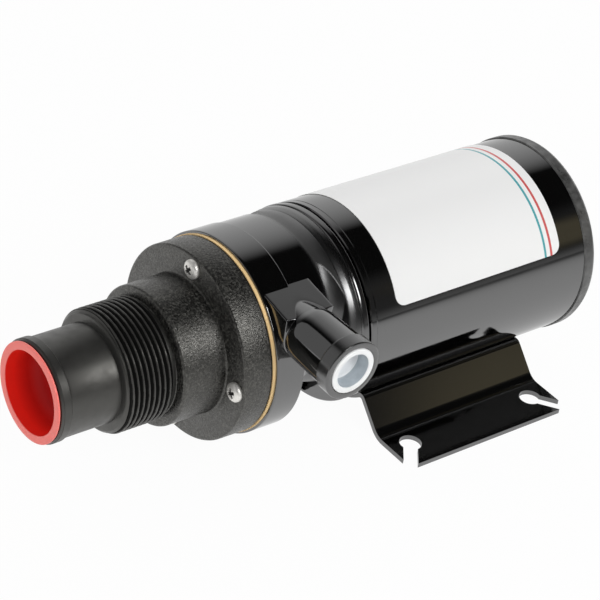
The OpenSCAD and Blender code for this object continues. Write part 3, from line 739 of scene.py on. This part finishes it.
def inlet_plug():
    """Red cup with a flat lip and a groove under it."""
    lo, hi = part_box("inlet_plug")
    lip_r = (hi.y - lo.y) / 2
    cup_r = 17.22 * MM
    wall = 1.0 * MM
    lip = 1.1 * MM
    lip_edge = 0.6 * lip
    groove_r = lip_r - 0.7 * MM
    rim = 0.6 * MM
    depth = hi.x - lo.x
    profile = rounded([
        (depth - wall, 0, 0), (depth - wall, cup_r - wall, 4.5 * MM), (0, cup_r - wall, 0.25 * MM),
        (0, lip_r, 0.2 * MM), (lip_edge, lip_r, 0.15 * MM), (lip_edge, groove_r, 0), (lip, groove_r, 0),
        (lip, cup_r, 0), (depth, cup_r, 1 * MM), (depth, 0, 0)])
    place = ON_SHAFT.copy()
    place.translation = Vector((lo.x, 0, AXIS.z))
    verts, faces = turned(profile, place)
    materials = (MATERIALS["red_plastic"], RED_CUP_SHADED)
    piece = mesh_piece("red_plug", verts, faces, materials, "inlet_plug_body", "inlet_plug")
    # Faces inside the cup take the red with painted shade
    for face in piece.data.polygons:
        inside = math.hypot(face.center.y, face.center.z - AXIS.z) < cup_r - 0.5 * wall
        if inside and face.center.x > lo.x + rim:
            face.material_index = 1
    crease(piece, degrees=60)


def outlet_plug():
    """White cup with a round rim; its inner wall is a dark grey-blue as painted shade."""
    lo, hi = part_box("outlet_plug")
    middle = (lo + hi) / 2
    outer_r = (hi.x - lo.x) / 2
    inner_r = 7.1 * MM
    floor_t = 1.2 * MM
    rim = 0.6 * MM
    depth = hi.y - lo.y
    steps = 120
    profile = rounded([
        (depth - floor_t, 0, 0), (depth - floor_t, inner_r, 1.5 * MM), (0, inner_r, 0.4 * MM),
        (0, outer_r, 0.5 * MM), (depth, outer_r, 0.8 * MM), (depth, 0, 0)])
    place = Matrix(((-1, 0, 0, middle.x), (0, 0, 1, lo.y), (0, 1, 0, middle.z), (0, 0, 0, 1)))
    verts, faces = turned(profile, place, steps)
    materials = (MATERIALS["white_plastic"], WHITE_CUP, WHITE_WALL_SHADED)
    piece = mesh_piece("white_plug", verts, faces, materials, "outlet_plug_body", "outlet_plug")
    # Floor of the cup in a slightly greyer white, its inner wall in the grey-blue of painted shade
    for face in piece.data.polygons:
        inside = math.hypot(face.center.x - middle.x, face.center.z - middle.z) < inner_r + 0.3 * MM
        on_floor = abs(face.normal.y) > 0.5
        if inside and face.center.y > lo.y + rim:
            face.material_index = 1 if on_floor else 2
    crease(piece, degrees=60)


# Studio

def aim(thing, place, target, axis):
    """Put a thing in its place, with an axis towards the target."""
    thing.location = place
    thing.rotation_euler = (Vector(target) - Vector(place)).to_track_quat(axis, "Y").to_euler()


def area_light(name, place, target, size, radiance, mirrored=True):
    """Square soft box with a given radiance, which mirrors show or not."""
    light = bpy.data.lights.new(name, "AREA")
    light.shape = "SQUARE"
    light.size = size
    light.energy = radiance * math.pi * size * size
    lamp = add_object(name, light)
    aim(lamp, place, target, "-Z")
    lamp.visible_glossy = mirrored


def rectangle(name, half_w, half_h):
    mesh = bpy.data.meshes.new(name)
    corners = [(-half_w, -half_h, 0), (half_w, -half_h, 0), (half_w, half_h, 0), (-half_w, half_h, 0)]
    mesh.from_pydata(corners, [], [(0, 1, 2, 3)])
    return add_object(name, mesh)


def empty_material(name):
    """A material without a shader, and its node tree."""
    material = bpy.data.materials.new(name)
    material.use_nodes = True
    tree = material.node_tree
    tree.nodes.remove(tree.nodes["Principled BSDF"])
    return material, tree


def show(tree, shader):
    tree.links.new(shader.outputs[0], tree.nodes["Material Output"].inputs["Surface"])


def mixed(tree, share, first, second):
    """Shader that goes from first to second."""
    mix = tree.nodes.new("ShaderNodeMixShader")
    tree.links.new(share, mix.inputs["Fac"])
    tree.links.new(first.outputs[0], mix.inputs[1])
    tree.links.new(second.outputs[0], mix.inputs[2])
    return mix


def show_in_mirrors_only(thing):
    thing.visible_camera = False
    thing.visible_diffuse = False
    thing.visible_shadow = False
    thing.visible_transmission = False


def background_rays(tree):
    """Is this a camera, mirror or glass ray?"""
    path = tree.nodes.new("ShaderNodeLightPath")
    seen = combined(tree, "MAXIMUM", path.outputs["Is Camera Ray"], path.outputs["Is Glossy Ray"])
    return combined(tree, "MAXIMUM", seen, path.outputs["Is Transmission Ray"])


def floor():
    """White paper; mirrors see it fade to the front right.

    A mirror seen in a mirror shows it in the pump's shade.
    """
    half = 6.0
    glow_share, one_mirror = 0.96, 1.5
    fade_x, faded = (0.06, 0.85), 0.15
    front_edge = (-0.05, 0.03)
    plane = rectangle("floor", half, half)
    material, tree = empty_material("floor_paper")
    paper = tree.nodes.new("ShaderNodeBsdfDiffuse")
    paper.inputs["Color"].default_value = (0.86, 0.86, 0.855, 1)
    glow = tree.nodes.new("ShaderNodeEmission")
    path = tree.nodes.new("ShaderNodeLightPath")
    first_mirror = combined(tree, "LESS_THAN", path.outputs["Glossy Depth"], one_mirror)
    across = split(tree, places(tree))
    fades = smooth_ramp(tree, across["X"], fade_x, (1, faded))
    behind = smooth_ramp(tree, across["Y"], front_edge, (0, 1))
    whole = combined(tree, "MAXIMUM", path.outputs["Is Camera Ray"], behind)
    tree.links.new(combined(tree, "MAXIMUM", whole, fades), glow.inputs["Strength"])
    show(tree, mixed(tree, product(tree, background_rays(tree), first_mirror, glow_share), paper, glow))
    plane.data.materials.append(material)


def world():
    """White to the camera and to mirrors, and a softer light on the rest."""
    fill = 0.56
    made = bpy.data.worlds.new("studio")
    bpy.context.scene.world = made
    made.use_nodes = True
    tree = made.node_tree
    back = tree.nodes["Background"]
    back.inputs["Color"].default_value = (1, 1, 1, 1)
    tree.links.new(map_range(tree, background_rays(tree), (0, 1), (fill, 1)), back.inputs["Strength"])


def half_sphere(name, radius, columns, rows):
    """Dome that stands on the floor, in rows of quads up to a point at its top."""
    verts, faces = [(0, 0, radius)], []
    for j in range(rows):
        lift = 0.5 * math.pi * j / rows
        row_r, z = radius * math.cos(lift), radius * math.sin(lift)
        for i in range(columns):
            around = 2 * math.pi * i / columns
            verts.append((row_r * math.cos(around), row_r * math.sin(around), z))
    for j in range(rows - 1):
        here, above = 1 + j * columns, 1 + (j + 1) * columns
        for i in range(columns):
            k = (i + 1) % columns
            faces.append((here + i, here + k, above + k, above + i))
    last = 1 + (rows - 1) * columns
    faces += [(last + i, last + (i + 1) % columns, 0) for i in range(columns)]
    mesh = bpy.data.meshes.new(name)
    mesh.from_pydata(verts, [], faces)
    return add_object(name, mesh)


def dome():
    """Studio walls and ceiling as mirrors show them: white behind, grey to the left, dark elsewhere."""
    radius = 3.0
    back_way, least_out = math.radians(80), 0.02
    shell = half_sphere("studio_dome", radius, columns=144, rows=40)
    material, tree = empty_material("studio_walls")
    place = places(tree)
    parts = split(tree, place)
    height = parts["Z"]
    azimuth = combined(tree, "ARCTAN2", parts["Y"], parts["X"])
    out = tree.nodes.new("ShaderNodeVectorMath")
    out.operation = "DOT_PRODUCT"
    out.inputs[1].default_value = (math.cos(back_way), math.sin(back_way), 0)
    tree.links.new(place, out.inputs[0])
    climb = combined(tree, "DIVIDE", height, combined(tree, "MAXIMUM", out.outputs["Value"], least_out))

    def turn(degrees, to):
        """Brightness that changes round the studio, in degrees from X."""
        return smooth_ramp(tree, azimuth, [math.radians(d) for d in degrees], to)

    def rise(degrees, to):
        """Brightness that changes with the height, in degrees up from the floor."""
        return smooth_ramp(tree, height, [radius * math.sin(math.radians(d)) for d in degrees], to)

    fades_up = smooth_ramp(tree, climb, (0.2, 2.6), (1, 0))
    back = product(tree, turn((-35, 15), (0, 0.97)), turn((72, 116), (1, 0)), fades_up)
    left = product(tree, turn((117, 121), (0, 0.4)), turn((160, 190), (1, 0)), rise((48, 54), (1, 0)))
    low = product(tree, rise((-2, 10), (0.35, 0.08)), rise((28, 44), (1, 0.12)))
    walls = combined(tree, "MAXIMUM", back, left)
    glow = tree.nodes.new("ShaderNodeEmission")
    tree.links.new(combined(tree, "MAXIMUM", walls, low), glow.inputs["Strength"])
    show(tree, glow)
    shell.data.materials.append(material)
    show_in_mirrors_only(shell)


def card(name, place, target, width, height, color):
    """Plain reflector card that mirrors show, with a soft edge."""
    w, h = width / 2, height / 2
    core = 0.3
    sheet = rectangle(name, w, h)
    aim(sheet, place, target, "Z")
    material, tree = empty_material(name)
    glow = tree.nodes.new("ShaderNodeEmission")
    glow.inputs["Color"].default_value = (*color, 1)
    scaled = tree.nodes.new("ShaderNodeMapping")
    scaled.inputs["Scale"].default_value = (1 / w, 1 / h, 1)
    tree.links.new(places(tree), scaled.inputs["Vector"])
    far = tree.nodes.new("ShaderNodeVectorMath")
    far.operation = "LENGTH"
    tree.links.new(scaled.outputs["Vector"], far.inputs[0])
    edge = smooth_ramp(tree, far.outputs["Value"], (core, 1), (1, 0))
    tree.links.new(edge, glow.inputs["Strength"])
    show(tree, mixed(tree, edge, tree.nodes.new("ShaderNodeBsdfTransparent"), glow))
    sheet.data.materials.append(material)
    show_in_mirrors_only(sheet)


def lights():
    """Key light from the front, with two fills that no mirror shows."""
    middle = (-0.05, 0, 0.05)
    area_light("key_box", (0.09, -1.01, 0.85), middle, size=0.5, radiance=9.0)
    area_light("back_box", (0.9, 1.0, 0.7), middle, size=1.0, radiance=1.2, mirrored=False)
    area_light("front_box", (-1.3, -0.35, 0.45), middle, size=0.8, radiance=1.2, mirrored=False)


def camera():
    """The photograph's camera, as solved from the photograph."""
    right = Vector((0.78502, -0.60350, 0.13975))
    up = Vector((0.25711, 0.52267, 0.81284))
    ahead = Vector((0.56359, 0.60217, -0.56547))
    lens = bpy.data.cameras.new("camera")
    lens.sensor_width = 36
    lens.lens = 152.906
    view = add_object("camera", lens)
    view.matrix_world = Matrix((right, up, -ahead)).transposed().to_4x4()
    view.location = (-0.61168, -0.59316, 0.60343)
    bpy.context.scene.camera = view


# The pump, the studio and the view

dress_nodes()
housing()
pump_body()
outlet()
screws()
inlet_plug()
outlet_plug()
floor()
world()
dome()
card("warm_card", (0.33, -0.34, 0.22), (0.02, -0.03, 0.05), width=0.26, height=0.34,
     color=(0.24, 0.21, 0.14))
lights()
camera()
bpy.context.scene.view_settings.view_transform = "Standard"
